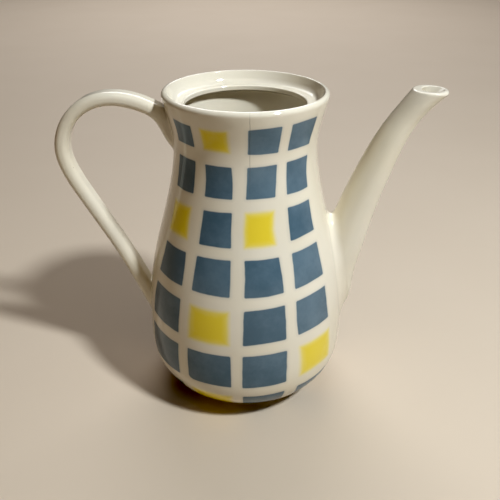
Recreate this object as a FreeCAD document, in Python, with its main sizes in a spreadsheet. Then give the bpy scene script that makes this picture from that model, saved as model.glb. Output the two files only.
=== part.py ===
import FreeCAD, Part
import os
import Sketcher

# Coffee pot in glazed earthenware: a waisted body cast in one piece with its
# gallery rim and foot ring, a long tapering spout and a strap handle, both
# cast apart and stuck on with clay slip.
# Frame: +Z up along the body's axis, origin at the centre of the foot's
# underside, spout towards +X, handle towards -X. Millimetres.

V = FreeCAD.Vector
doc = FreeCAD.newDocument("coffee_pot")
sheet = doc.addObject("Spreadsheet::Sheet", "dims")
VALUE = {}


def dim(alias, value, note):
    row = len(VALUE) + 1
    sheet.set("A%d" % row, note)
    sheet.set("B%d" % row, "%.3f" % value)
    sheet.setAlias("B%d" % row, alias)
    VALUE[alias] = value


# Outer wall, control points of the profile from the lip down to the foot.
WALL = [(47.06, 194.6), (46.34, 188.72), (40.07, 172.45), (42.58, 148.11),
        (49.1, 121.84), (57.5, 94.77), (61.65, 68.39), (63.0, 43.93),
        (62.25, 18.94), (49.05, 6.74), (40.74, 3.4)]
WALL_KNOTS = [0.0, 0.1, 0.22, 0.36, 0.5, 0.64, 0.76, 0.87, 1.0]
# Inner wall, from the floor up to the underside of the gallery flange.
BORE = [(34.0, 8.0), (40.5, 8.0), (48.0, 10.9), (58.9, 25.91),
        (57.9, 48.43), (56.1, 74.87), (49.9, 102.85), (42.6, 130.57),
        (35.6, 158.5), (38.7, 175.0), (39.8, 183.0)]
BORE_KNOTS = [0.0, 0.07, 0.15, 0.28, 0.42, 0.58, 0.74, 0.88, 1.0]
for i, (r, z) in enumerate(WALL):
    dim("wall_r%d" % i, r, "outer wall control point %d, radius" % i)
    dim("wall_z%d" % i, z, "outer wall control point %d, height" % i)
for i, (r, z) in enumerate(BORE):
    dim("bore_r%d" % i, r, "inner wall control point %d, radius" % i)
    dim("bore_z%d" % i, z, "inner wall control point %d, height" % i)
dim("foot_outer_r", 40.3, "foot ring, outer radius at the table")
dim("foot_inner_r", 36.4, "foot ring, inner radius at the table")
dim("recess_r", 35.8, "recess under the base, radius")
dim("recess_edge_z", 2.4, "recess under the base, height at its edge")
dim("recess_centre_z", 3.0, "recess under the base, height at its centre")
dim("throat_r", 34.3, "throat that the lid's flange drops through, radius")
dim("throat_low_z", 184.9, "throat, lower edge")
dim("ledge_z", 187.6, "ledge that the lid rests on, height")
dim("ledge_r", 40.9, "ledge, radius where it meets the gallery wall")
dim("lip_inner_r", 44.0, "gallery wall at the lip, radius")
dim("lip_round", 1.7, "rounding of the lip, outer edge")
dim("lip_inner_round", 1.25, "rounding of the lip, inner edge")
dim("cove_round", 4.6, "cove between ledge and gallery wall")
dim("throat_round", 0.7, "rounding of the throat's upper edge")
dim("throat_under_round", 0.5, "rounding of the throat's lower edge")
dim("foot_round", 0.8, "rounding of the foot ring")
dim("port_z", 75.5, "hole through the wall into the spout, height")
dim("port_r", 8.5, "hole through the wall into the spout, radius")
dim("slip", 1.0, "thickness of the slip layer at the joins")
dim("spout_wall", 3.5, "wall of the spout")
dim("tip_x", 102.9, "middle of the pouring lip, X")
dim("tip_z", 194.35, "middle of the pouring lip, Z")
dim("tip_slope", 0.0, "slope of the pouring lip, down towards its front")
dim("tip_round", 1.35, "rounding of the pouring lip, outer edge")
dim("tip_inner_round", 0.6, "rounding of the pouring lip, inner edge")

# Spout: station X, Z, direction in the XZ plane (degrees above +X), half
# height in that plane, half width across it.
SPOUT = [(45.2, 46.0, 57.4, 11.6, 12.3), (54.2, 58.8, 79.0, 12.75, 13.5),
         (57.0, 78.7, 79.7, 13.05, 14.0), (62.0, 100.6, 75.5, 12.35, 13.2),
         (68.1, 123.4, 73.1, 11.15, 11.9), (77.05, 149.3, 69.4, 9.8, 10.6),
         (85.75, 169.85, 63.3, 8.3, 9.5), (91.05, 178.85, 56.4, 7.6, 9.3),
         (98.35, 188.75, 46.9, 7.5, 10.1), (110.6, 201.5, 45.9, 8.6, 11.0)]
for i, (x, z, ang, a, b) in enumerate(SPOUT):
    dim("spout_x%d" % i, x, "spout station %d, X" % i)
    dim("spout_z%d" % i, z, "spout station %d, Z" % i)
    dim("spout_turn%d" % i, -ang, "spout station %d, turn" % i)
    dim("spout_half%d" % i, a, "spout station %d, half height" % i)
    dim("spout_wide%d" % i, b, "spout station %d, half width" % i)
# Handle: the same, from the neck round to the belly, with the rounding of
# the strap's edges.
HANDLE = [(-33.6, 168.2, 177.4, 15.6, 7.8), (-43.97, 174.5, 175.5, 9.9, 7.3),
          (-48.36, 180.57, 159.5, 5.2, 6.8),
          (-53.05, 184.07, 154.5, 4.05, 6.5), (-59.9, 187.0, 161.5, 4.05, 6.4),
          (-74.3, 189.65, 178.5, 3.9, 6.4), (-86.22, 187.46, 198.5, 3.85, 6.4),
          (-96.36, 180.96, 225.5, 3.85, 6.4),
          (-103.45, 170.55, 251.6, 3.9, 6.4),
          (-105.75, 159.05, 269.6, 4.1, 6.4),
          (-104.2, 150.1, 282.6, 4.15, 6.4), (-95.7, 130.9, 297.6, 4.1, 6.4),
          (-85.9, 112.1, 297.6, 4.1, 6.4), (-77.9, 96.65, 298.6, 4.15, 6.6),
          (-71.83, 83.53, 296.1, 4.2, 6.9), (-66.3, 70.93, 293.1, 4.25, 7.2),
          (-60.96, 58.4, 292.6, 4.6, 7.4), (-53.9, 43.85, 299.6, 4.8, 7.4)]
for i, (x, z, ang, a, b) in enumerate(HANDLE):
    dim("handle_x%d" % i, x, "handle station %d, X" % i)
    dim("handle_z%d" % i, z, "handle station %d, Z" % i)
    dim("handle_turn%d" % i, -ang, "handle station %d, turn" % i)
    dim("handle_half%d" % i, a, "handle station %d, half thickness" % i)
    dim("handle_wide%d" % i, b, "handle station %d, half width" % i)
dim("strap_edge", 0.92, "rounding of the strap's edges, share of its half")
dim("split_z", 120.0, "height between the two ends of the handle")
doc.recompute()


def new_body(name):
    body = doc.addObject("PartDesign::Body", name)
    body.Label = name
    return body


def plane(body, role):
    return [f for f in body.Origin.OriginFeatures if f.Role == role][0]


def new_sketch(body, name, role):
    sk = body.newObject("Sketcher::SketchObject", name)
    sk.AttachmentSupport = [(plane(body, role), "")]
    sk.MapMode = "FlatFace"
    return sk


def bind(sk, constraint, name, expression):
    i = sk.addConstraint(constraint)
    sk.renameConstraint(i, name)
    sk.setExpression("Constraints." + name, expression)


def pin_point(sk, geo, pos, name, x, z, ex, ez):
    # A point held at (x, z); a zero puts it on the axis.
    if ex is None:
        sk.addConstraint(Sketcher.Constraint("PointOnObject", geo, pos, -2))
    else:
        bind(sk, Sketcher.Constraint("DistanceX", -1, 1, geo, pos, x), name + "_r", ex)
    if ez is None:
        sk.addConstraint(Sketcher.Constraint("PointOnObject", geo, pos, -1))
    else:
        bind(sk, Sketcher.Constraint("DistanceY", -1, 1, geo, pos, z), name + "_z", ez)


def add_spline(sk, prefix, points, knots, grow=None):
    # Clamped cubic whose control points are the sheet's values.
    extra = 0.0 if grow is None else VALUE[grow]
    curve = Part.BSplineCurve()
    curve.buildFromPolesMultsKnots([V(r + extra, z, 0) for r, z in points],
                                   [4] + [1] * (len(knots) - 2) + [4], knots, False, 3)
    geo = sk.addGeometry(curve, False)
    first = None
    for i, (r, z) in enumerate(points):
        c = sk.addGeometry(Part.Circle(V(r + extra, z, 0), V(0, 0, 1), 1.0), True)
        sk.addConstraint(Sketcher.Constraint(
            "InternalAlignment:Sketcher::BSplineControlPoint", c, 3, geo, i))
        if first is None:
            first = c
            sk.addConstraint(Sketcher.Constraint("Weight", c, 1.0))
        else:
            sk.addConstraint(Sketcher.Constraint("Equal", first, c))
        ex = "dims.%s_r%d" % (prefix, i)
        if grow is not None:
            ex += " + dims." + grow
        pin_point(sk, c, 3, "%s%d" % (prefix, i), r + extra, z, ex, "dims.%s_z%d" % (prefix, i))
    return geo


def add_path(sk, points, start, end):
    # Straight runs through points, from the end of one curve to another's.
    geos = []
    for p, q in zip(points[:-1], points[1:]):
        geos.append(sk.addGeometry(Part.LineSegment(V(p[0], p[1], 0), V(q[0], q[1], 0)), False))
    for g, h in zip(geos[:-1], geos[1:]):
        sk.addConstraint(Sketcher.Constraint("Coincident", g, 2, h, 1))
    sk.addConstraint(Sketcher.Constraint("Coincident", geos[0], 1, start[0], start[1]))
    sk.addConstraint(Sketcher.Constraint("Coincident", geos[-1], 2, end[0], end[1]))
    for k, (g, p) in enumerate(zip(geos[:-1], points[1:-1])):
        pin_point(sk, g, 2, p[4], p[0], p[1], p[2], p[3])
    return geos


def at(name, ex, ez):
    x = 0.0 if ex is None else VALUE[ex]
    z = 0.0 if ez is None else VALUE[ez]
    return (x, z, None if ex is None else "dims." + ex, None if ez is None else "dims." + ez, name)


def turned(body, sk, name, angle=360):
    rev = body.newObject("PartDesign::Revolution", name)
    rev.Profile = sk
    rev.ReferenceAxis = (sk, ["V_Axis"])
    rev.Angle = angle
    sk.Visibility = False
    return rev


def ring_edges(shape, wanted):
    # Names of the circular edges at the given radii and heights.
    names = []
    for r, z in wanted:
        best = None
        for i, e in enumerate(shape.Edges):
            if not isinstance(e.Curve, Part.Circle):
                continue
            gap = abs(e.Curve.Radius - r) + abs(e.Curve.Center.z - z)
            if best is None or gap < best[0]:
                best = (gap, "Edge%d" % (i + 1))
        if best is None or best[0] > 0.05:
            raise RuntimeError("no edge at radius %.2f, height %.2f" % (r, z))
        names.append(best[1])
    return names


def rounded(body, base, name, wanted, expression):
    doc.recompute()
    f = body.newObject("PartDesign::Fillet", name)
    f.Base = (base, ring_edges(base.Shape, wanted))
    f.Radius = 0.5
    f.setExpression("Radius", expression)
    doc.recompute()
    return f


# ---- body: wall, floor, foot ring and gallery turned in one -------------------
body = new_body("body")
sk = new_sketch(body, "body_profile", "XZ_Plane")
outer = add_spline(sk, "wall", WALL, WALL_KNOTS)
inner = add_spline(sk, "bore", BORE, BORE_KNOTS)
foot = [WALL[-1], at("foot_out", "foot_outer_r", None), at("foot_in", "foot_inner_r", None),
        at("recess_edge", "recess_r", "recess_edge_z"), at("recess_mid", None, "recess_centre_z"),
        at("floor_mid", None, "bore_z0"), BORE[0]]
add_path(sk, foot, (outer, 2), (inner, 1))
rim = [BORE[-1], at("throat_low", "throat_r", "throat_low_z"), at("throat_top", "throat_r", "ledge_z"),
       at("ledge_out", "ledge_r", "ledge_z"), at("lip_in", "lip_inner_r", "wall_z0"), WALL[0]]
add_path(sk, rim, (inner, 2), (outer, 1))
doc.recompute()
pot = turned(body, sk, "body_turned")
lip_z = VALUE["wall_z0"]
pot = rounded(body, pot, "lip_rounding", [(VALUE["wall_r0"], lip_z)], "dims.lip_round")
pot = rounded(body, pot, "lip_inner_rounding", [(VALUE["lip_inner_r"], lip_z)], "dims.lip_inner_round")
pot = rounded(body, pot, "gallery_cove", [(VALUE["ledge_r"], VALUE["ledge_z"])], "dims.cove_round")
pot = rounded(body, pot, "throat_rounding", [(VALUE["throat_r"], VALUE["ledge_z"])], "dims.throat_round")
pot = rounded(body, pot, "throat_under_rounding", [(VALUE["throat_r"], VALUE["throat_low_z"])], "dims.throat_under_round")
pot = rounded(body, pot, "foot_rounding", [(VALUE["foot_outer_r"], 0.0), (VALUE["foot_inner_r"], 0.0)], "dims.foot_round")
before = pot.Shape.Volume

# Round hole from the belly into the spout.
sk = new_sketch(body, "port_circle", "YZ_Plane")
c = sk.addGeometry(Part.Circle(V(0, VALUE["port_z"], 0), V(0, 0, 1), VALUE["port_r"]), False)
sk.addConstraint(Sketcher.Constraint("PointOnObject", c, 3, -2))
bind(sk, Sketcher.Constraint("DistanceY", -1, 1, c, 3, VALUE["port_z"]), "height", "dims.port_z")
bind(sk, Sketcher.Constraint("Radius", c, VALUE["port_r"]), "radius", "dims.port_r")
doc.recompute()
port = body.newObject("PartDesign::Pocket", "spout_port")
port.Profile = sk
port.Type = 0
port.Length = 90.0
port.Reversed = True
doc.recompute()
cut = before - port.Shape.Volume
if not 700.0 < cut < 1800.0:
    raise RuntimeError("the spout port removed %.1f mm3" % cut)
if port.Shape.isInside(V(-58.0, 0, VALUE["port_z"]), 0.01, False) is False:
    raise RuntimeError("the spout port is on the wrong side")


# ---- filled envelopes of the wall, without and with the slip layer ------------
def envelope(name, grow):
    b = new_body(name)
    s = new_sketch(b, name + "_profile", "XZ_Plane")
    wall = add_spline(s, "wall", WALL, WALL_KNOTS, grow)
    extra = 0.0 if grow is None else VALUE[grow]
    pts = [(WALL[-1][0] + extra, WALL[-1][1]), at("low_mid", None, "wall_z10"),
           at("top_mid", None, "wall_z0"), (WALL[0][0] + extra, WALL[0][1])]
    add_path(s, pts, (wall, 2), (wall, 1))
    doc.recompute()
    turned(b, s, name + "_turned")
    doc.recompute()
    return b


inside = envelope("wall_filled", None)
inside_slip = envelope("wall_filled_and_slip", "slip")


# ---- stations: a sketch across the path at (x, z), turned to its direction -----
def station(body, name, key, i, shift=None):
    s = new_sketch(body, name, "YZ_Plane")
    x, z, turn = VALUE["%s_x%d" % (key, i)], VALUE["%s_z%d" % (key, i)], VALUE["%s_turn%d" % (key, i)]
    ex, ez = "dims.%s_x%d" % (key, i), "dims.%s_z%d" % (key, i)
    if shift is not None:
        t = "dims.%s_turn%d" % (key, i)
        ex += " + dims.%s * cos(%s * 1 deg)" % (shift, t)
        ez += " - dims.%s * sin(%s * 1 deg)" % (shift, t)
    s.AttachmentOffset = FreeCAD.Placement(V(0, z, x), FreeCAD.Rotation(V(1, 0, 0), turn))
    s.setExpression("AttachmentOffset.Base.y", ez)
    s.setExpression("AttachmentOffset.Base.z", ex)
    s.setExpression("AttachmentOffset.Rotation.Angle", "dims.%s_turn%d" % (key, i))
    return s


def oval(s, half, wide, half_ex, wide_ex):
    e = s.addGeometry(Part.Ellipse(V(wide, 0, 0), V(0, half, 0), V(0, 0, 0)), False)
    s.exposeInternalGeometry(e)
    s.addConstraint(Sketcher.Constraint("Coincident", e, 3, -1, 1))
    s.addConstraint(Sketcher.Constraint("Horizontal", e + 1))
    bind(s, Sketcher.Constraint("Distance", e + 1, 2 * wide), "width", "2 * (%s)" % wide_ex)
    bind(s, Sketcher.Constraint("Distance", e + 2, 2 * half), "height", "2 * (%s)" % half_ex)


def strap(s, half, wide, half_ex, wide_ex):
    rc = VALUE["strap_edge"] * min(half, wide)
    p, q = wide - rc, half - rc
    z = V(0, 0, 1)
    pi = 3.141592653589793
    top = s.addGeometry(Part.LineSegment(V(p, half, 0), V(-p, half, 0)), False)
    tl = s.addGeometry(Part.ArcOfCircle(Part.Circle(V(-p, q, 0), z, rc), pi / 2, pi), False)
    left = s.addGeometry(Part.LineSegment(V(-wide, q, 0), V(-wide, -q, 0)), False)
    bl = s.addGeometry(Part.ArcOfCircle(Part.Circle(V(-p, -q, 0), z, rc), pi, 1.5 * pi), False)
    low = s.addGeometry(Part.LineSegment(V(-p, -half, 0), V(p, -half, 0)), False)
    br = s.addGeometry(Part.ArcOfCircle(Part.Circle(V(p, -q, 0), z, rc), 1.5 * pi, 2 * pi), False)
    right = s.addGeometry(Part.LineSegment(V(wide, -q, 0), V(wide, q, 0)), False)
    tr = s.addGeometry(Part.ArcOfCircle(Part.Circle(V(p, q, 0), z, rc), 0, pi / 2), False)
    ring = [top, tl, left, bl, low, br, right, tr]
    for g, h in zip(ring, ring[1:] + ring[:1]):
        s.addConstraint(Sketcher.Constraint("Tangent", g, 2, h, 1))
    for g in (top, low):
        s.addConstraint(Sketcher.Constraint("Horizontal", g))
    for g in (left, right):
        s.addConstraint(Sketcher.Constraint("Vertical", g))
    for g in (bl, br, tr):
        s.addConstraint(Sketcher.Constraint("Equal", tl, g))
    s.addConstraint(Sketcher.Constraint("Symmetric", top, 1, low, 1, -1, 1))
    small = half_ex if half <= wide else wide_ex
    bind(s, Sketcher.Constraint("Radius", tl, rc), "edge", "dims.strap_edge * (%s)" % small)
    bind(s, Sketcher.Constraint("DistanceX", -1, 1, right, 1, wide), "side", wide_ex)
    bind(s, Sketcher.Constraint("DistanceY", -1, 1, top, 1, half), "face", half_ex)


def lofted(body, kind, name, sketches):
    doc.recompute()
    for s in sketches:
        if s.solve() != 0:
            raise RuntimeError("station %s doesn't solve" % s.Name)
    f = body.newObject("PartDesign::" + kind, name)
    f.Profile = sketches[0]
    f.Sections = sketches[1:]
    f.Ruled = False
    f.Closed = False
    for s in sketches:
        s.Visibility = False
    doc.recompute()
    return f


# ---- spout, whole, with its duct ---------------------------------------------
spout_cast = new_body("spout_cast")
outside, duct = [], []
last = len(SPOUT) - 1
for i in range(len(SPOUT)):
    s = station(spout_cast, "spout_station_%d" % i, "spout", i)
    h, w = "dims.spout_half%d" % i, "dims.spout_wide%d" % i
    oval(s, VALUE["spout_half%d" % i], VALUE["spout_wide%d" % i], h, w)
    outside.append(s)
shell = lofted(spout_cast, "AdditiveLoft", "spout_outside", outside)

full = shell.Shape.Volume
for i in range(len(SPOUT)):
    s = station(spout_cast, "duct_station_%d" % i, "spout", i)
    h, w = "dims.spout_half%d - dims.spout_wall" % i, "dims.spout_wide%d - dims.spout_wall" % i
    oval(s, VALUE["spout_half%d" % i] - VALUE["spout_wall"], VALUE["spout_wide%d" % i] - VALUE["spout_wall"], h, w)
    duct.append(s)
hollow = lofted(spout_cast, "SubtractiveLoft", "spout_duct", duct)
if not 0.2 * full < hollow.Shape.Volume < 0.8 * full:
    raise RuntimeError("the duct doesn't hollow the spout")

# The casting is trimmed to a level pouring lip.
s = new_sketch(spout_cast, "trim_disc", "XY_Plane")
s.AttachmentOffset = FreeCAD.Placement(V(VALUE["tip_x"], 0, VALUE["tip_z"]), FreeCAD.Rotation(V(0, 1, 0), VALUE["tip_slope"]))
s.setExpression("AttachmentOffset.Base.x", "dims.tip_x")
s.setExpression("AttachmentOffset.Base.z", "dims.tip_z")
s.setExpression("AttachmentOffset.Rotation.Angle", "dims.tip_slope")
c = s.addGeometry(Part.Circle(V(0, 0, 0), V(0, 0, 1), 30.0), False)
s.addConstraint(Sketcher.Constraint("Coincident", c, 3, -1, 1))
s.addConstraint(Sketcher.Constraint("Radius", c, 30.0))
doc.recompute()
trim = spout_cast.newObject("PartDesign::Pocket", "tip_trim")
trim.Profile = s
trim.Type = 0
trim.Length = 30.0
trim.Reversed = True
doc.recompute()
if not 500.0 < hollow.Shape.Volume - trim.Shape.Volume < 4000.0:
    raise RuntimeError("the trim took %.1f mm3" % (hollow.Shape.Volume - trim.Shape.Volume))


def lip_ring(shape, outer):
    # The outer or the inner ring of the pouring lip, in its own plane.
    c = V(VALUE["tip_x"], 0, VALUE["tip_z"])
    n = FreeCAD.Rotation(V(0, 1, 0), VALUE["tip_slope"]).multVec(V(0, 0, 1))
    rings = []
    for i, e in enumerate(shape.Edges):
        pts = e.discretize(9)
        if max(abs((p - c).dot(n)) for p in pts) < 0.02:
            rings.append((max(abs(p.y) for p in pts), "Edge%d" % (i + 1)))
    middle = (max(rings)[0] + min(rings)[0]) / 2
    return [name for y, name in rings if (y > middle) == outer]


def lip_rounded(base, name, outer, expression):
    f = spout_cast.newObject("PartDesign::Fillet", name)
    f.Base = (base, lip_ring(base.Shape, outer))
    f.Radius = 0.4
    f.setExpression("Radius", expression)
    doc.recompute()
    return f


tip = lip_rounded(trim, "tip_inner_rounding", False, "dims.tip_inner_round")
tip = lip_rounded(tip, "tip_rounding", True, "dims.tip_round")

# ---- handle, whole -----------------------------------------------------------
handle_cast = new_body("handle_cast")
stations = []
for i in range(len(HANDLE)):
    s = station(handle_cast, "handle_station_%d" % i, "handle", i)
    strap(s, VALUE["handle_half%d" % i], VALUE["handle_wide%d" % i],
          "dims.handle_half%d" % i, "dims.handle_wide%d" % i)
    stations.append(s)
lofted(handle_cast, "AdditiveLoft", "handle_strap", stations)


# ---- the pieces stuck to the body, and the slip between ----------------------
def cut_of(name, base, tool):
    c = doc.addObject("Part::Cut", name)
    c.Base, c.Tool = base, tool
    c.Refine = False
    c.Label = name
    doc.recompute()
    return c


def common_of(name, base, tool):
    c = doc.addObject("Part::Common", name)
    c.Base, c.Tool = base, tool
    c.Refine = False
    c.Label = name
    doc.recompute()
    return c


spout = cut_of("spout", spout_cast, inside_slip)
handle = cut_of("handle", handle_cast, inside_slip)
spout_slip = cut_of("spout_slip", common_of("spout_in_slip", spout_cast, inside_slip), inside)
handle_slip = cut_of("handle_slip_both", common_of("handle_in_slip", handle_cast, inside_slip), inside)
upper = doc.addObject("Part::Box", "upper_half")
lower = doc.addObject("Part::Box", "lower_half")
for box in (upper, lower):
    box.Length, box.Width, box.Height = 300, 300, 300
upper.Placement = FreeCAD.Placement(V(-150, -150, VALUE["split_z"]), FreeCAD.Rotation())
lower.Placement = FreeCAD.Placement(V(-150, -150, VALUE["split_z"] - 300), FreeCAD.Rotation())
upper.setExpression("Placement.Base.z", "dims.split_z")
lower.setExpression("Placement.Base.z", "dims.split_z - 300")
handle_upper_slip = common_of("handle_upper_slip", handle_slip, upper)
handle_lower_slip = common_of("handle_lower_slip", handle_slip, lower)
doc.recompute()

pieces = [body, spout, handle, spout_slip, handle_upper_slip, handle_lower_slip]

for obj in doc.Objects:
    if "Invalid" in obj.State or "Error" in obj.State:
        raise RuntimeError("%s failed: %s" % (obj.Name, obj.State))
for piece in pieces:
    shape = piece.Shape
    if shape.isNull() or not shape.isValid() or len(shape.Solids) != 1:
        raise RuntimeError("%s is not one valid solid: %d solids" % (piece.Label, len(shape.Solids)))

os.makedirs("parts", exist_ok=True)
for piece in pieces:
    piece.Shape.exportStep("parts/%s.step" % piece.Label)
    b = piece.Shape.BoundBox
    print("%-18s %9.1f mm3  X %.1f..%.1f  Y %.1f..%.1f  Z %.1f..%.1f" % (
        piece.Label, piece.Shape.Volume, b.XMin, b.XMax, b.YMin, b.YMax, b.ZMin, b.ZMax))
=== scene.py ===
import math

import bpy
import numpy as np
from mathutils import Matrix, Vector


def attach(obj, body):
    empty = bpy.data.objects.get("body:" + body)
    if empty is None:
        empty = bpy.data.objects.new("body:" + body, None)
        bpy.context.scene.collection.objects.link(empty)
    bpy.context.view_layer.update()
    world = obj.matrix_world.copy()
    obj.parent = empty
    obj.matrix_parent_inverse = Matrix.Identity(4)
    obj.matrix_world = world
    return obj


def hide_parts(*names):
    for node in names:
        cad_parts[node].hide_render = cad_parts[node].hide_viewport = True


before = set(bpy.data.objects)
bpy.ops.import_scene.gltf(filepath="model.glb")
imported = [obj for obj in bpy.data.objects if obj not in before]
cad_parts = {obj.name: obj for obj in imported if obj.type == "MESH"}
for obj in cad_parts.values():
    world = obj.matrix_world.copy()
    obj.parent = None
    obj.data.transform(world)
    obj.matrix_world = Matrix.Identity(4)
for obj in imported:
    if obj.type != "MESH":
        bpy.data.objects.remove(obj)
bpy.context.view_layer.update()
MM = 0.001

# --------------------------------------------------------------------------
# Sizes, in millimetres, the same as the CAD model's
# --------------------------------------------------------------------------
WALL = [(47.06, 194.6), (46.34, 188.72), (40.07, 172.45), (42.58, 148.11),
        (49.1, 121.84), (57.5, 94.77), (61.65, 68.39), (63.0, 43.93),
        (62.25, 18.94), (49.05, 6.74), (40.74, 3.4)]
WALL_KNOTS = [0.0, 0.1, 0.22, 0.36, 0.5, 0.64, 0.76, 0.87, 1.0]
BORE = [(34.0, 8.0), (40.5, 8.0), (48.0, 10.9), (58.9, 25.91),
        (57.9, 48.43), (56.1, 74.87), (49.9, 102.85), (42.6, 130.57),
        (35.6, 158.5), (38.7, 175.0), (39.8, 183.0)]
BORE_KNOTS = [0.0, 0.07, 0.15, 0.28, 0.42, 0.58, 0.74, 0.88, 1.0]
SPOUT = [(45.2, 46.0, 57.4, 11.6, 12.3), (54.2, 58.8, 79.0, 12.75, 13.5),
         (57.0, 78.7, 79.7, 13.05, 14.0), (62.0, 100.6, 75.5, 12.35, 13.2),
         (68.1, 123.4, 73.1, 11.15, 11.9), (77.05, 149.3, 69.4, 9.8, 10.6),
         (85.75, 169.85, 63.3, 8.3, 9.5), (91.05, 178.85, 56.4, 7.6, 9.3),
         (98.35, 188.75, 46.9, 7.5, 10.1), (110.6, 201.5, 45.9, 8.6, 11.0)]
SPOUT_WALL = 3.5
TIP, TIP_SLOPE, TIP_ROUND, TIP_INNER = (102.9, 194.35), 0.0, 1.48, 0.8
HANDLE = [(-33.6, 168.2, 177.4, 15.6, 7.8), (-43.97, 174.5, 175.5, 9.9, 7.3),
          (-48.36, 180.57, 159.5, 5.2, 6.8),
          (-53.05, 184.07, 154.5, 4.05, 6.5), (-59.9, 187.0, 161.5, 4.05, 6.4),
          (-74.3, 189.65, 178.5, 3.9, 6.4), (-86.22, 187.46, 198.5, 3.85, 6.4),
          (-96.36, 180.96, 225.5, 3.85, 6.4),
          (-103.45, 170.55, 251.6, 3.9, 6.4),
          (-105.75, 159.05, 269.6, 4.1, 6.4),
          (-104.2, 150.1, 282.6, 4.15, 6.4), (-95.7, 130.9, 297.6, 4.1, 6.4),
          (-85.9, 112.1, 297.6, 4.1, 6.4), (-77.9, 96.65, 298.6, 4.15, 6.6),
          (-71.83, 83.53, 296.1, 4.2, 6.9), (-66.3, 70.93, 293.1, 4.25, 7.2),
          (-60.96, 58.4, 292.6, 4.6, 7.4), (-53.9, 43.85, 299.6, 4.8, 7.4)]
STRAP_EDGE = 0.92
PORT_Z, PORT_R = 75.5, 8.5


# --------------------------------------------------------------------------
# Curves
# --------------------------------------------------------------------------
def clamped_cubic(poles, knots, n):
    """n points of a clamped cubic spline with these control points."""
    poles = np.array(poles, float)
    full = np.array([knots[0]] * 3 + list(knots) + [knots[-1]] * 3)
    out = []
    for t in np.linspace(0, 1, n):
        k = int(np.searchsorted(full, t, side="right") - 1)
        k = min(max(k, 3), len(poles) - 1)
        d = [poles[j + k - 3].copy() for j in range(4)]
        for r in range(1, 4):
            for j in range(3, r - 1, -1):
                lo, hi = full[j + k - 3], full[j + 1 + k - r]
                a = 0.0 if hi <= lo else (t - lo) / (hi - lo)
                d[j] = (1 - a) * d[j - 1] + a * d[j]
        out.append(d[3])
    return np.array(out)


def natural_cubic(t, y):
    """Second derivatives of the natural cubic spline through (t, y)."""
    n = len(t)
    a = np.zeros((n, n))
    b = np.zeros((n,) + y.shape[1:])
    a[0, 0] = a[-1, -1] = 1
    for i in range(1, n - 1):
        h0, h1 = t[i] - t[i - 1], t[i + 1] - t[i]
        a[i, i - 1], a[i, i], a[i, i + 1] = h0, 2 * (h0 + h1), h1
        b[i] = 6 * ((y[i + 1] - y[i]) / h1 - (y[i] - y[i - 1]) / h0)
    return np.linalg.solve(a, b)


def along(stations):
    """A function of u in 0..1 that gives x, z, angle, half height, half width."""
    y = np.array(stations, float)
    step = np.hypot(np.diff(y[:, 0]), np.diff(y[:, 1]))
    t = np.concatenate([[0], np.cumsum(step)])
    t /= t[-1]
    m = natural_cubic(t, y)

    def f(u):
        u = np.asarray(u, float)
        i = np.clip(np.searchsorted(t, u, side="right") - 1, 0, len(t) - 2)
        h = t[i + 1] - t[i]
        p, q = (t[i + 1] - u) / h, (u - t[i]) / h
        p, q, h = p[..., None], q[..., None], h[..., None]
        return p * y[i] + q * y[i + 1] + ((p ** 3 - p) * m[i] + (q ** 3 - q) * m[i + 1]) * h * h / 6
    return f


wall_curve = clamped_cubic(WALL, WALL_KNOTS, 900)
_o = np.argsort(wall_curve[:, 1])
WALL_Z, WALL_R = wall_curve[_o, 1], wall_curve[_o, 0]
WALL_SLOPE = np.gradient(WALL_R, WALL_Z)


def wall_r(z):
    return np.interp(z, WALL_Z, WALL_R)


def off_wall(p):
    """Signed distance of points from the outer wall, and the wall's normal there."""
    p = np.asarray(p, float)
    r = np.hypot(p[..., 0], p[..., 1])
    c = 1 / np.sqrt(1 + np.interp(p[..., 2], WALL_Z, WALL_SLOPE) ** 2)
    s = np.interp(p[..., 2], WALL_Z, WALL_SLOPE) * c
    n = np.stack([c * p[..., 0] / r, c * p[..., 1] / r, -s], -1)
    return (r - wall_r(p[..., 2])) * c, n


def to_wall(p, depth=0.0):
    """Points moved along the normal onto the wall, then sunk by depth."""
    for _ in range(4):
        d, n = off_wall(p)
        p = p - d[..., None] * n
    d, n = off_wall(p)
    return p - depth * n


def tube_points(f, u, theta, grow=0.0, strap=False):
    """Points on a tube at stations u and angles theta, both of one shape. The
    section is an ellipse, or for a strap a rectangle with rounded edges."""
    s = f(u)
    x, z, ang, a, b = [s[..., k] for k in range(5)]
    ang = np.radians(ang)
    if strap:
        r = STRAP_EDGE * np.minimum(a, b) + grow
        a, b = a + grow, b + grow
        q = np.abs((np.asarray(theta) + math.pi) % (2 * math.pi) - math.pi)
        q = np.where(q > math.pi / 2, math.pi - q, q) / (math.pi / 2)
        face, end = 0.2, 0.8
        turn = np.clip((q - face) / (end - face), 0, 1) * math.pi / 2
        c = (a - r) * np.clip((1 - q) / (1 - end), 0, 1) + r * np.cos(turn)
        d = (b - r) * np.clip(q / face, 0, 1) + r * np.sin(turn)
        c = c * np.where(np.cos(theta) < 0, -1, 1)
        d = d * np.where(np.sin(theta) < 0, -1, 1)
    else:
        c, d = np.cos(theta) * (a + grow), np.sin(theta) * (b + grow)
    return np.stack([x + c * np.sin(ang), d, z - c * np.cos(ang)], -1)


def crossing(f, theta, level, grow, strap, first, steps=900):
    """For each angle, the u at which the tube's line passes level off the wall."""
    u = np.linspace(0, 1, steps)
    uu, tt = np.meshgrid(u, theta, indexing="ij")
    d, _ = off_wall(tube_points(f, uu, tt, grow, strap))
    d = d - level
    out = np.zeros(len(theta))
    for k in range(len(theta)):
        s = d[:, k]
        hits = np.where((s[:-1] < 0) != (s[1:] < 0))[0]
        i = hits[0] if first else hits[-1]
        out[k] = u[i] + (u[i + 1] - u[i]) * s[i] / (s[i] - s[i + 1])
    return out


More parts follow.
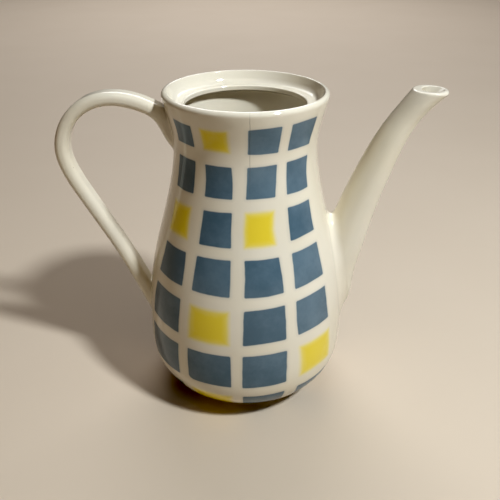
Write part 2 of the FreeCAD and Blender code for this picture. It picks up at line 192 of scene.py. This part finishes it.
def root_rings(f, theta, up, out, strap, first, rings):
    """Rings from under the wall, out over a fillet and onto the tube."""
    uq = crossing(f, theta, 0.0, 0.0, strap, first)
    us = crossing(f, theta, up, 0.0, strap, first)
    ue = crossing(f, theta, 0.0, out, strap, first)
    q, s = tube_points(f, uq, theta, 0, strap), tube_points(f, us, theta, 0, strap)
    e = to_wall(tube_points(f, ue, theta, out, strap))
    n = off_wall(e)[1]
    back = q - e
    back -= (back * n).sum(-1, keepdims=True) * n
    p1, p2 = s + (q - s) * 0.62, e + back * 0.62
    away = -back / np.linalg.norm(back, axis=-1, keepdims=True)
    far = to_wall(e + away * 1.2, 0.03)
    deep = to_wall(e + away * 1.3, 0.5)
    under = to_wall(q, 0.5)
    fillet = []
    for t in 0.5 - 0.5 * np.cos(np.linspace(0, math.pi, rings)):
        fillet.append((1 - t) ** 3 * e + 3 * (1 - t) ** 2 * t * p2 + 3 * (1 - t) * t * t * p1 + t ** 3 * s)
    return under, deep, far, fillet, us


def mesh_from_rings(name, rings, closed_loop, cap_first=None, cap_last=None):
    """A mesh of rings of equal length, each ring closed. closed_loop joins the
    last ring to the first; a cap closes an end with a fan to a point."""
    rings = [np.asarray(r) for r in rings]
    m = len(rings[0])
    verts = np.concatenate(rings)
    faces = []
    pairs = list(zip(range(len(rings) - 1), range(1, len(rings))))
    if closed_loop:
        pairs.append((len(rings) - 1, 0))
    for i, j in pairs:
        for k in range(m):
            l = (k + 1) % m
            faces.append((i * m + k, i * m + l, j * m + l, j * m + k))
    extra = []
    if cap_first is not None:
        c = len(verts) + len(extra)
        extra.append(cap_first)
        faces += [(c, (k + 1) % m, k) for k in range(m)]
    if cap_last is not None:
        c = len(verts) + len(extra)
        extra.append(cap_last)
        base = (len(rings) - 1) * m
        faces += [(c, base + k, base + (k + 1) % m) for k in range(m)]
    if extra:
        verts = np.concatenate([verts, np.array(extra)])
    mesh = bpy.data.meshes.new(name)
    mesh.from_pydata((verts * MM).tolist(), [], faces)
    mesh.update()
    mesh.validate()
    obj = bpy.data.objects.new(name, mesh)
    bpy.context.scene.collection.objects.link(obj)
    # outward faces: the signed volume is positive
    v = np.array([w.co for w in mesh.vertices])
    vol = 0.0
    for p in mesh.polygons:
        i = list(p.vertices)
        for a, b in zip(i[1:-1], i[2:]):
            vol += np.dot(v[i[0]], np.cross(v[a], v[b]))
    if vol < 0:
        mesh.flip_normals()
    for p in mesh.polygons:
        p.use_smooth = True
    return obj


# --------------------------------------------------------------------------
# Body: one turned profile
# --------------------------------------------------------------------------
def rounded_path(parts):
    """Joins runs of points; (runs, radius) rounds the corner between two runs."""
    pts = [np.array(parts[0][0], float)]
    for run, radius in parts[1:]:
        run = np.array(run, float)
        prev = pts[-1]
        if radius <= 0:
            pts.append(run[1:])
            continue
        corner = run[0]
        d0 = prev[-2] - corner
        d1 = run[1] - corner
        d0, d1 = d0 / np.linalg.norm(d0), d1 / np.linalg.norm(d1)
        inner = math.acos(np.clip(np.dot(d0, d1), -1, 1))
        cut = radius / math.tan(inner / 2)

        def trim(p, cut):
            # p starts at the corner; what is left past the cut length
            step = np.linalg.norm(np.diff(p, axis=0), axis=1)
            run_len = np.concatenate([[0], np.cumsum(step)])
            i = int(np.searchsorted(run_len, cut))
            i = min(max(i, 1), len(p) - 1)
            w = (cut - run_len[i - 1]) / max(run_len[i] - run_len[i - 1], 1e-9)
            q = p[i - 1] + min(w, 1.0) * (p[i] - p[i - 1])
            rest = p[i:] if w < 0.999 else p[i + 1:]
            return q, rest

        a, before = trim(prev[::-1], cut)
        b, after = trim(run, cut)
        turn = math.pi - inner
        k = 4 / 3 * math.tan(turn / 4) / math.tan(turn / 2)
        n = max(6, int(turn / math.radians(10)) + 1)
        arc = []
        for t in np.linspace(0, 1, n):
            p1, p2 = a + (corner - a) * k, b + (corner - b) * k
            arc.append((1 - t) ** 3 * a + 3 * (1 - t) ** 2 * t * p1 + 3 * (1 - t) * t * t * p2 + t ** 3 * b)
        pts[-1] = before[::-1]
        pts.append(np.array(arc))
        pts.append(after)
    return np.concatenate([p for p in pts if len(p)])


def line(a, b, n):
    return [(a[0] + (b[0] - a[0]) * i / n, a[1] + (b[1] - a[1]) * i / n) for i in range(n + 1)]


SEG = 216
outer_run = clamped_cubic(WALL[::-1], [1 - k for k in WALL_KNOTS[::-1]], 116)
inner_run = clamped_cubic(BORE[::-1], [1 - k for k in BORE_KNOTS[::-1]], 76)
profile = rounded_path([
    (line((0.6, 3.0), (35.8, 2.4), 14), 0),
    (line((35.8, 2.4), (36.4, 0.0), 3), 0.9),
    (line((36.4, 0.0), (40.3, 0.0), 6), 0.8),
    (line((40.3, 0.0), (40.74, 3.4), 5), 0.8),
    (outer_run, 1.1),
    (line((47.06, 194.6), (44.0, 194.6), 12), 2.15),
    (line((44.0, 194.6), (40.9, 187.6), 12), 0.8),
    (line((40.9, 187.6), (34.3, 187.6), 12), 4.6),
    (line((34.3, 187.6), (34.3, 184.9), 6), 0.7),
    (line((34.3, 184.9), (39.8, 183.0), 4), 0.5),
    (inner_run, 1.2),
    (line((34.0, 8.0), (0.6, 8.0), 14), 0),
])
keep = [0]
for i in range(1, len(profile)):
    if np.linalg.norm(profile[i] - profile[keep[-1]]) > 0.02:
        keep.append(i)
profile = profile[keep]
ang = np.arange(SEG) * 2 * math.pi / SEG
rings = [np.stack([r * np.cos(ang), r * np.sin(ang), np.full(SEG, z)], -1) for r, z in profile]
body = mesh_from_rings("pot_body", rings, False, (0, 0, 3.0), (0, 0, 8.0))

# Squares: for each row and column the azimuths and heights of the edges on the
# side that faces -Y, in degrees from -Y towards +X and in millimetres.
#       A                             B                             C                            D
SQUARES = [
    [(-58.4, -39.4, 184.7, 172.7), (-32.1, -11.7, 183.8, 172.2), (1.7, 24.3, 185.7, 171.3), (31.9, 55.9, 186.7, 171.4)],
    [(-61.7, -40.4, 164.3, 145.7), (-30.1, -9.4, 164.0, 146.5), (1.2, 22.6, 164.5, 147.2), (31.2, 52.3, 165.2, 147.1)],
    [(-61.8, -41.5, 138.0, 119.4), (-30.6, -9.5, 139.2, 120.3), (-1.7, 19.0, 140.4, 120.7), (30.3, 51.7, 140.1, 122.4)],
    [(-62.1, -39.4, 112.6, 93.2), (-31.9, -8.8, 113.8, 93.2), (-0.4, 22.0, 114.5, 93.5), (29.6, 52.7, 115.2, 95.1)],
    [(-67.1, -39.9, 85.4, 62.4), (-33.4, -8.9, 84.4, 62.2), (-1.5, 22.4, 86.4, 64.6), (28.9, 53.5, 87.9, 65.6)],
    [(-69.6, -40.6, 54.3, 30.7), (-33.9, -7.9, 55.5, 32.4), (-2.0, 22.9, 56.9, 32.8), (31.3, 56.9, 57.3, 34.5)],
    [(-68.0, -40.6, 22.8, 5.6), (-33.9, -7.9, 24.4, 5.6), (-2.0, 22.9, 24.6, 5.6), (31.3, 56.9, 25.4, 5.6)],
]
GAP = 0.13
run = np.concatenate([[0], np.cumsum(np.linalg.norm(np.diff(wall_curve, axis=0), axis=1))])


def run_of(z):
    """Length along the wall from the lip down to height z."""
    return np.interp(-np.asarray(z, float), -wall_curve[:, 1], run)


def grid_place(phi, s):
    """Column and row coordinates of a point of the wall: a square's edges are
    at whole numbers plus or minus GAP."""
    sq = np.array(SQUARES)
    top, low = run_of(sq[:, :, 2]), run_of(sq[:, :, 3])
    mid_phi = (sq[:, :, 0] + sq[:, :, 1]).mean(0) / 2
    mid_s = (top + low).mean(1) / 2
    left = np.array([np.interp(s, mid_s, sq[:, c, 0]) for c in range(4)])
    right = np.array([np.interp(s, mid_s, sq[:, c, 1]) for c in range(4)])
    kx = np.stack([v for c in range(4) for v in (left[c], right[c])], -1)
    ky = np.array([c + g for c in range(4) for g in (GAP, 1 - GAP)])
    up = np.array([np.interp(phi, mid_phi, top[r]) for r in range(7)])
    dn = np.array([np.interp(phi, mid_phi, low[r]) for r in range(7)])
    sx = np.stack([v for r in range(7) for v in (up[r], dn[r])], -1)
    sy = np.array([r + g for r in range(7) for g in (GAP, 1 - GAP)])

    def lookup(v, knots, values):
        out = np.empty(len(v))
        for i in range(len(v)):
            k = knots[i]
            if v[i] <= k[0]:
                out[i] = values[0] - (k[0] - v[i]) * 0.031
            elif v[i] >= k[-1]:
                out[i] = values[-1] + (v[i] - k[-1]) * 0.031
            else:
                out[i] = np.interp(v[i], k, values)
        return out

    return lookup(phi, kx, ky), lookup(s, sx, sy)


co = np.array([v.co for v in body.data.vertices]) / MM
rad = np.hypot(co[:, 0], co[:, 1])
phi = np.degrees(np.arctan2(co[:, 0], np.abs(co[:, 1])))
is_wall = (np.abs(rad - wall_r(co[:, 2])) < 0.6) & (co[:, 2] > 3.0) & (co[:, 2] < 193.0)
col, row = np.full(len(co), -2.0), np.full(len(co), -2.0)
col[is_wall], row[is_wall] = grid_place(phi[is_wall], run_of(co[is_wall, 2]))
below = (co[:, 2] <= 3.4) & (rad > 35.0)
col[below], row[below] = -2.0, 7.6
uv = body.data.uv_layers.new(name="squares")
loop_v = np.zeros(len(body.data.loops), int)
body.data.loops.foreach_get("vertex_index", loop_v)
flat = np.stack([col[loop_v], row[loop_v]], -1).astype(np.float32).ravel()
uv.data.foreach_set("uv", flat)

# The hole from the belly into the spout.
drill_ang = np.arange(48) * 2 * math.pi / 48
drill = mesh_from_rings("drill", [np.stack([np.full(48, x), PORT_R * np.cos(drill_ang), PORT_Z + PORT_R * np.sin(drill_ang)], -1)
                                  for x in (40.0, 62.0, 75.0)], False, (40.0, 0, PORT_Z), (75.0, 0, PORT_Z))
cut = body.modifiers.new("port", "BOOLEAN")
cut.operation, cut.solver, cut.object = "DIFFERENCE", "EXACT", drill
bpy.context.view_layer.update()
deps = bpy.context.evaluated_depsgraph_get()
cut_mesh = bpy.data.meshes.new_from_object(body.evaluated_get(deps), preserve_all_data_layers=True, depsgraph=deps)
body.modifiers.clear()
body.data = cut_mesh
body.data.name = "pot_body"
bpy.data.objects.remove(drill)
for p in body.data.polygons:
    p.use_smooth = True
body.data.set_sharp_from_angle(angle=math.radians(50))

# --------------------------------------------------------------------------
# Spout: fillet on the belly, tube, rounded pouring lip, duct
# --------------------------------------------------------------------------
M = 96
theta = np.arange(M) * 2 * math.pi / M
spout_line = along(SPOUT)
# the fillet is widest in the crotch between spout and neck
root_fillet = 5.0 + 2.2 * (0.5 - 0.5 * np.cos(theta)) ** 2
under, deep, far, fillet, us = root_rings(spout_line, theta, root_fillet, root_fillet, False, True, 14)
tip_n = np.array([math.sin(math.radians(TIP_SLOPE)), 0, math.cos(math.radians(TIP_SLOPE))])
tip_c = np.array([TIP[0], 0, TIP[1]])


def tip_crossing(grow, below):
    u = np.linspace(0.3, 1, 900)
    uu, tt = np.meshgrid(u, theta, indexing="ij")
    d = (tube_points(spout_line, uu, tt, grow) - tip_c) @ tip_n + below
    out = np.zeros(M)
    for k in range(M):
        i = np.where((d[:-1, k] < 0) & (d[1:, k] >= 0))[0][0]
        out[k] = u[i] + (u[i + 1] - u[i]) * d[i, k] / (d[i, k] - d[i + 1, k])
    return out


u_tip = tip_crossing(0.0, 0.0)


def duct_wall(u, th):
    """Wall of the duct: even below, at the mouth thin at the pouring edge and
    thick on the side towards the pot."""
    near = np.clip((u - 0.62) / 0.22, 0, 1)
    return -(SPOUT_WALL + near * near * (3 - 2 * near) * (0.35 - 0.75 * np.cos(th)))


def duct_crossing(below):
    u = np.linspace(0.3, 1, 900)
    uu, tt = np.meshgrid(u, theta, indexing="ij")
    d = (tube_points(spout_line, uu, tt, duct_wall(uu, tt)) - tip_c) @ tip_n + below
    out = np.zeros(M)
    for k in range(M):
        i = np.where((d[:-1, k] < 0) & (d[1:, k] >= 0))[0][0]
        out[k] = u[i] + (u[i + 1] - u[i]) * d[i, k] / (d[i, k] - d[i + 1, k])
    return out


u_in_top = duct_crossing(0.0)
o_top = tube_points(spout_line, u_tip, theta)
i_top = tube_points(spout_line, u_in_top, theta, duct_wall(u_in_top, theta))
inward = i_top - o_top
width = np.linalg.norm(inward, axis=1)
inward /= width[:, None]


def round_reach(point, u0, across, radius):
    """How far a rounding of this radius reaches from the lip's edge, and where
    on the tube it ends."""
    h = 0.002
    d = point(u0 - h) - point(u0)
    step = np.linalg.norm(d, axis=1)
    corner = np.arccos(np.clip((d * across).sum(1) / step, -1, 1))
    reach = radius / np.tan(corner / 2)
    return reach, u0 - reach / step * h, np.sin(corner / 2)[:, None]


def outside_at(u):
    return tube_points(spout_line, u, theta)


def duct_at(u):
    return tube_points(spout_line, u, theta, duct_wall(u, theta))


reach_o = round_reach(outside_at, u_tip, inward, TIP_ROUND)[0]
reach_i = round_reach(duct_at, u_in_top, -inward, TIP_INNER)[0]
share = np.minimum(1.0, 0.96 * width / (reach_o + reach_i))
reach_o, u_out, bend_o = round_reach(outside_at, u_tip, inward, TIP_ROUND * share)
reach_i, u_in, bend_i = round_reach(duct_at, u_in_top, -inward, TIP_INNER * share)
o_low, i_low = outside_at(u_out), duct_at(u_in)
skin = []
for t in np.linspace(0, 1, 64)[1:]:
    skin.append(tube_points(spout_line, us + (u_out - us) * t, theta))
lip = []
flat_o, flat_i = o_top + inward * reach_o[:, None], i_top - inward * reach_i[:, None]


def arc(a, c, b, w, t):
    """A point of the circular arc from a to b whose tangents meet at c."""
    p, q, r = (1 - t) ** 2, 2 * t * (1 - t) * w, t * t
    return (p * a + q * c + r * b) / (p + q + r)


for t in np.linspace(0, 1, 13)[1:]:
    lip.append(arc(o_low, o_top, flat_o, bend_o, t))
for t in np.linspace(0, 1, 11):
    lip.append(arc(flat_i, i_top, i_low, bend_i, t))
u_duct = crossing(spout_line, theta, -0.5, -SPOUT_WALL, False, True)
duct = []
for t in np.linspace(0, 1, 56)[1:]:
    ud = u_in + (u_duct - u_in) * t
    duct.append(tube_points(spout_line, ud, theta, duct_wall(ud, theta)))
spout = mesh_from_rings("pot_spout", [under, deep, far] + fillet + skin + lip + duct, True)

# --------------------------------------------------------------------------
# Handle: strap with a fillet at each end
# --------------------------------------------------------------------------
handle_line = along(HANDLE)
under_a, deep_a, far_a, fillet_a, us_a = root_rings(handle_line, theta, 1.5, 1.6, True, True, 12)
under_b, deep_b, far_b, fillet_b, us_b = root_rings(handle_line, theta, 1.3, 1.4, True, False, 12)
strap = [tube_points(handle_line, us_a + (us_b - us_a) * t, theta, 0, True) for t in np.linspace(0, 1, 150)[1:-1]]
handle = mesh_from_rings("pot_handle", [under_a, deep_a, far_a] + fillet_a + strap + fillet_b[::-1] + [far_b, deep_b, under_b], False,
                         to_wall(under_a.mean(0), 0.5), to_wall(under_b.mean(0), 0.5))

# --------------------------------------------------------------------------
# Slip: the layer of fired clay inside each joint
# --------------------------------------------------------------------------
def slip_layers(f, strap_, first, grow, low, high, n):
    """Rings through a joint from low to high off the wall."""
    return [tube_points(f, crossing(f, theta, low + (high - low) * i / n, grow, strap_, first), theta, grow, strap_) for i in range(n + 1)]


def slip_plate(name, f, first):
    rings_ = slip_layers(f, True, first, -0.35, -0.45, 0.75, 3)
    lo, hi = rings_[0], rings_[-1]
    cl, ch = to_wall(lo.mean(0), 0.45), to_wall(hi.mean(0), -0.75)
    bottom = [to_wall(cl + (lo - cl) * k, 0.45) for k in (0.35, 0.7)]
    top = [to_wall(ch + (hi - ch) * k, -0.75) for k in (0.7, 0.35)]
    return mesh_from_rings(name, bottom + rings_ + top, False, cl, ch)


slip_up = slip_plate("slip_handle_upper", handle_line, True)
slip_low = slip_plate("slip_handle_lower", handle_line, False)
slip_spout = mesh_from_rings("slip_spout", slip_layers(spout_line, False, True, -0.3, -0.45, 0.75, 3)
                             + slip_layers(spout_line, False, True, -SPOUT_WALL + 0.4, 0.75, -0.45, 3), True)

for obj in (spout, handle, slip_up, slip_low, slip_spout):
    obj.data.set_sharp_from_angle(angle=math.radians(50))


# --------------------------------------------------------------------------
# Materials
# --------------------------------------------------------------------------
class Tree:
    """A small helper for laying out shader nodes."""

    def __init__(self, name):
        self.mat = bpy.data.materials.new(name)
        self.mat.use_nodes = True
        self.nodes, self.links = self.mat.node_tree.nodes, self.mat.node_tree.links
        self.nodes.clear()
        self.out = self.nodes.new("ShaderNodeOutputMaterial")
        self.bsdf = self.nodes.new("ShaderNodeBsdfPrincipled")
        self.links.new(self.bsdf.outputs[0], self.out.inputs["Surface"])

    def put(self, value, socket):
        if isinstance(value, bpy.types.NodeSocket):
            self.links.new(value, socket)
        else:
            socket.default_value = value

    def math(self, op, a, b=0.0, c=None, clamp=False):
        n = self.nodes.new("ShaderNodeMath")
        n.operation, n.use_clamp = op, clamp
        self.put(a, n.inputs[0])
        self.put(b, n.inputs[1])
        if c is not None:
            self.put(c, n.inputs[2])
        return n.outputs[0]

    def step(self, v, lo, hi, a=0.0, b=1.0):
        n = self.nodes.new("ShaderNodeMapRange")
        n.interpolation_type = "SMOOTHSTEP"
        self.put(v, n.inputs["Value"])
        self.put(lo, n.inputs["From Min"])
        self.put(hi, n.inputs["From Max"])
        self.put(a, n.inputs["To Min"])
        self.put(b, n.inputs["To Max"])
        return n.outputs["Result"]

    def mix(self, f, a, b):
        n = self.nodes.new("ShaderNodeMix")
        n.data_type = "RGBA"
        self.put(f, n.inputs[0])
        self.put(a if isinstance(a, bpy.types.NodeSocket) else (*a, 1.0), n.inputs[6])
        self.put(b if isinstance(b, bpy.types.NodeSocket) else (*b, 1.0), n.inputs[7])
        return n.outputs[2]

    def noise(self, vec, scale, detail=2.0, rough=0.5):
        n = self.nodes.new("ShaderNodeTexNoise")
        self.put(vec, n.inputs["Vector"])
        n.inputs["Scale"].default_value = scale
        n.inputs["Detail"].default_value = detail
        n.inputs["Roughness"].default_value = rough
        return n.outputs[0]

    def place(self):
        return self.nodes.new("ShaderNodeTexCoord").outputs["Object"]

    def split(self, vec):
        n = self.nodes.new("ShaderNodeSeparateXYZ")
        self.links.new(vec, n.inputs[0])
        return n.outputs

    def bump(self, height, strength, distance, normal=None):
        n = self.nodes.new("ShaderNodeBump")
        self.put(height, n.inputs["Height"])
        n.inputs["Strength"].default_value = strength
        n.inputs["Distance"].default_value = distance
        if normal is not None:
            self.links.new(normal, n.inputs["Normal"])
        return n.outputs[0]


IVORY = (0.80, 0.752, 0.640)
IVORY_WARM = (0.785, 0.728, 0.592)
BLUE = (0.102, 0.170, 0.222)
BLUE_LIGHT = (0.162, 0.240, 0.296)
YELLOW = (0.82, 0.665, 0.085)
YELLOW_PALE = (0.83, 0.73, 0.25)


def glaze(name, squares):
    t = Tree(name)
    at = t.place()
    # ivory clay under clear glaze, a little uneven
    cloud = t.noise(at, 16.0, 3.0, 0.55)
    colour = t.mix(t.step(cloud, 0.35, 0.72), IVORY, IVORY_WARM)
    if squares:
        u = t.nodes.new("ShaderNodeUVMap")
        u.uv_map = "squares"
        x, y, _ = t.split(u.outputs[0])
        wob_x = t.math("SUBTRACT", t.noise(at, 85.0, 2.0), 0.5)
        shift = t.nodes.new("ShaderNodeVectorMath")
        shift.operation = "ADD"
        t.links.new(at, shift.inputs[0])
        shift.inputs[1].default_value = (0.31, 0.17, 0.23)
        wob_y = t.math("SUBTRACT", t.noise(shift.outputs[0], 85.0, 2.0), 0.5)
        x = t.math("MULTIPLY_ADD", wob_x, 0.028, x)
        y = t.math("MULTIPLY_ADD", wob_y, 0.028, y)
        cx, cy = t.math("FLOOR", x), t.math("FLOOR", y)
        fx, fy = t.math("SUBTRACT", x, cx), t.math("SUBTRACT", y, cy)
        half = 0.5 - GAP
        # the stencil's corners are sharp, but for one that has worn round
        low_left = t.math("MULTIPLY", t.math("LESS_THAN", fx, 0.5), t.math("GREATER_THAN", fy, 0.5))
        worn = t.math("MULTIPLY", low_left, t.math("COMPARE", t.math("ADD", t.math("MULTIPLY", cy, 4.0), cx), 21.0, 0.25))
        corner = t.math("MULTIPLY_ADD", worn, 0.075, 0.03)
        reach = t.math("SUBTRACT", half, corner)
        qx = t.math("SUBTRACT", t.math("ABSOLUTE", t.math("SUBTRACT", fx, 0.5)), reach)
        qy = t.math("SUBTRACT", t.math("ABSOLUTE", t.math("SUBTRACT", fy, 0.5)), reach)
        px, py = t.math("MAXIMUM", qx, 0.0), t.math("MAXIMUM", qy, 0.0)
        far_ = t.math("SQRT", t.math("ADD", t.math("MULTIPLY", px, px), t.math("MULTIPLY", py, py)))
        dist = t.math("ADD", t.math("SUBTRACT", far_, corner), t.math("MINIMUM", t.math("MAXIMUM", qx, qy), 0.0))
        inside = t.math("MULTIPLY",
                        t.math("MULTIPLY", t.math("GREATER_THAN", x, 0.0), t.math("LESS_THAN", x, 4.0)),
                        t.math("MULTIPLY", t.math("GREATER_THAN", y, 0.0), t.math("LESS_THAN", y, 7.0)))
        cell = t.math("ADD", t.math("MULTIPLY", cy, 4.0), cx)
        picked = None
        for r, c in ((0, 1), (2, 0), (2, 2), (4, 1), (5, 3), (6, 1)):
            hit = t.math("COMPARE", cell, float(4 * r + c), 0.25)
            picked = hit if picked is None else t.math("ADD", picked, hit)
        # each square is sprayed a little thicker or thinner than the next
        wn = t.nodes.new("ShaderNodeTexWhiteNoise")
        wn.noise_dimensions = "1D"
        t.links.new(cell, wn.inputs["W"])
        load = wn.outputs["Value"]
        grain = t.noise(at, 60.0, 4.0, 0.6)
        tone = t.math("ADD", t.math("MULTIPLY", load, 0.18), t.math("MULTIPLY", grain, 0.82))
        blue = t.mix(t.step(tone, 0.3, 0.75), BLUE, BLUE_LIGHT)
        edge_in = t.step(dist, -0.16, -0.01)
        yellow = t.mix(t.math("MULTIPLY", edge_in, 0.65), YELLOW, YELLOW_PALE)
        yellow = t.mix(t.step(grain, 0.55, 0.8, 0.0, 0.35), yellow, YELLOW_PALE)
        is_blue = t.math("MULTIPLY", inside, t.math("SUBTRACT", 1.0, picked))
        is_yellow = t.math("MULTIPLY", inside, picked)
        # a breath of overspray round each square
        haze = t.step(dist, -0.02, 0.085, 1.0, 0.0)
        colour = t.mix(t.math("MULTIPLY", t.math("MULTIPLY", haze, is_blue), 0.16), colour, BLUE_LIGHT)
        colour = t.mix(t.math("MULTIPLY", t.step(dist, -0.014, 0.012, 1.0, 0.0), is_blue), colour, blue)
        colour = t.mix(t.math("MULTIPLY", t.step(dist, -0.075, 0.05, 1.0, 0.0), is_yellow), colour, yellow)
        # a hair crack in the glaze, down from the lip
        ox, oy, oz = t.split(at)
        track = t.math("MULTIPLY_ADD", t.math("SUBTRACT", t.noise(at, 130.0, 2.0), 0.5), 0.0011, 0.00215)
        off = t.math("ABSOLUTE", t.math("SUBTRACT", ox, track))
        hair = t.math("MULTIPLY", t.step(off, 0.00006, 0.00026, 1.0, 0.0), t.math("LESS_THAN", oy, 0.0))
        hair = t.math("MULTIPLY", hair, t.step(oz, 0.140, 0.178, 0.0, 0.42))
        hair = t.math("MULTIPLY", hair, t.step(oz, 0.1905, 0.1935, 1.0, 0.35))
        colour = t.mix(hair, colour, (0.10, 0.085, 0.07))
    # fine iron specks
    v = t.nodes.new("ShaderNodeTexVoronoi")
    v.inputs["Scale"].default_value = 190.0
    t.links.new(at, v.inputs["Vector"])
    near = t.step(v.outputs["Distance"], 0.035, 0.075, 1.0, 0.0)
    few = t.math("GREATER_THAN", t.split(v.outputs["Color"])[0], 0.955)
    colour = t.mix(t.math("MULTIPLY", t.math("MULTIPLY", near, few), 0.55), colour, (0.22, 0.16, 0.10))
    t.links.new(colour, t.bsdf.inputs["Base Color"])
    # handled glaze: slightly uneven gloss, faint waves
    smear = t.noise(at, 34.0, 4.0, 0.6)
    t.links.new(t.step(smear, 0.35, 0.8, 0.36, 0.52), t.bsdf.inputs["Roughness"])
    waves = t.bump(t.noise(at, 26.0, 1.0), 0.06, 0.004)
    peel = t.bump(t.noise(at, 420.0, 2.0), 0.05, 0.0006, waves)
    t.links.new(peel, t.bsdf.inputs["Normal"])
    t.links.new(peel, t.bsdf.inputs["Coat Normal"])
    t.bsdf.inputs["IOR"].default_value = 1.5
    t.bsdf.inputs["Specular IOR Level"].default_value = 0.05
    t.bsdf.inputs["Coat Weight"].default_value = 0.9
    t.bsdf.inputs["Coat Roughness"].default_value = 0.02
    t.bsdf.inputs["Coat IOR"].default_value = 1.5
    return t.mat


def bare_clay(name, base, dark):
    t = Tree(name)
    at = t.place()
    grain = t.noise(at, 700.0, 5.0, 0.65)
    blotch = t.noise(at, 45.0, 3.0, 0.5)
    tone = t.math("ADD", t.math("MULTIPLY", grain, 0.5), t.math("MULTIPLY", blotch, 0.5))
    t.links.new(t.mix(t.step(tone, 0.38, 0.66), base, dark), t.bsdf.inputs["Base Color"])
    t.links.new(t.step(grain, 0.3, 0.7, 0.78, 0.95), t.bsdf.inputs["Roughness"])
    t.links.new(t.bump(grain, 0.35, 0.0004), t.bsdf.inputs["Normal"])
    return t.mat


glaze_squares = glaze("glaze_with_squares", True)
glaze_plain = glaze("glaze_plain", False)
biscuit = bare_clay("bare_foot", (0.62, 0.54, 0.42), (0.46, 0.38, 0.28))
slip_clay = bare_clay("fired_slip", (0.66, 0.60, 0.49), (0.55, 0.48, 0.38))

body.data.materials.clear()
body.data.materials.append(glaze_squares)
body.data.materials.append(biscuit)
for p in body.data.polygons:
    c = p.center / MM
    p.material_index = 1 if c.z < 0.22 and math.hypot(c.x, c.y) > 36.2 else 0
spout.data.materials.append(glaze_plain)
handle.data.materials.append(glaze_plain)
for obj in (slip_up, slip_low, slip_spout):
    obj.data.materials.append(slip_clay)

for piece, node, slot in ((body, "body", "glaze"), (spout, "spout", "glaze"), (handle, "handle", "glaze"),
                          (slip_spout, "spout_slip", "slip"), (slip_up, "handle_upper_slip", "slip"),
                          (slip_low, "handle_lower_slip", "slip")):
    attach(piece, "root")
    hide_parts(node)

# --------------------------------------------------------------------------
# Floor, light, camera
# --------------------------------------------------------------------------
floor_mesh = bpy.data.meshes.new("floor")
W = 4.0
floor_mesh.from_pydata([(-W, -W, 0), (W, -W, 0), (W, W, 0), (-W, W, 0)], [], [(0, 1, 2, 3)])
floor = bpy.data.objects.new("floor", floor_mesh)
bpy.context.scene.collection.objects.link(floor)
ft = Tree("pale_floor")
fn = ft.noise(ft.place(), 7.0, 4.0, 0.5)
ft.links.new(ft.mix(fn, (0.62, 0.535, 0.43), (0.65, 0.565, 0.46)), ft.bsdf.inputs["Base Color"])
ft.bsdf.inputs["Roughness"].default_value = 0.7
floor.data.materials.append(ft.mat)


def area(name, where, at, size, power, colour):
    d = bpy.data.lights.new(name, "AREA")
    d.shape, d.size, d.energy, d.color = "DISK", size, power, colour
    o = bpy.data.objects.new(name, d)
    bpy.context.scene.collection.objects.link(o)
    o.location = where
    o.rotation_euler = (Vector(at) - Vector(where)).to_track_quat("-Z", "Y").to_euler()
    return o


area("key", (0.58, -0.455, 1.015), (0, 0, 0.12), 0.13, 15.0, (0.875, 0.925, 0.975))
area("back", (0.0, 1.85, 1.5), (0.0, 1.6, 0.0), 1.8, 30.0, (0.97, 0.97, 1.0))
area("top", (-0.05, -0.5, 1.3), (0, 0, 0.17), 0.6, 1.6, (1.0, 0.89, 0.72))
area("warm", (-1.0, -0.15, 0.27), (0, 0, 0.12), 0.8, 0.45, (1.0, 0.60, 0.30))
world = bpy.data.worlds.new("studio")
bpy.context.scene.world = world
world.use_nodes = True
world.node_tree.nodes["Background"].inputs[0].default_value = (1.0, 0.82, 0.66, 1)
world.node_tree.nodes["Background"].inputs[1].default_value = 0.025

cam_data = bpy.data.cameras.new("camera")
cam_data.sensor_width = 36.0
cam_data.lens = 601.0 / 500.0 * 36.0
cam_data.clip_start = 0.01
cam = bpy.data.objects.new("camera", cam_data)
bpy.context.scene.collection.objects.link(cam)
pitch, yaw, roll = math.radians(29.5), math.radians(0.47), math.radians(0.15)
fwd = Vector((math.sin(yaw) * math.cos(pitch), math.cos(yaw) * math.cos(pitch), -math.sin(pitch)))
right = Vector((math.cos(yaw), -math.sin(yaw), 0))
up = right.cross(fwd)
r2 = right * math.cos(roll) + up * math.sin(roll)
u2 = -right * math.sin(roll) + up * math.cos(roll)
m = Matrix((r2, u2, -fwd)).transposed().to_4x4()
m.translation = Vector((0, -0.3333, 0.28053))
cam.matrix_world = m
bpy.context.scene.camera = cam
bpy.context.scene.view_settings.view_transform = "Standard"
bpy.context.scene.view_settings.look = "None"
bpy.context.scene.view_settings.gamma = 0.86
bpy.context.scene.view_settings.use_curve_mapping = True
bpy.context.scene.view_settings.curve_mapping.black_level = (0.022, 0.027, 0.029)
bpy.context.scene.view_settings.curve_mapping.update()
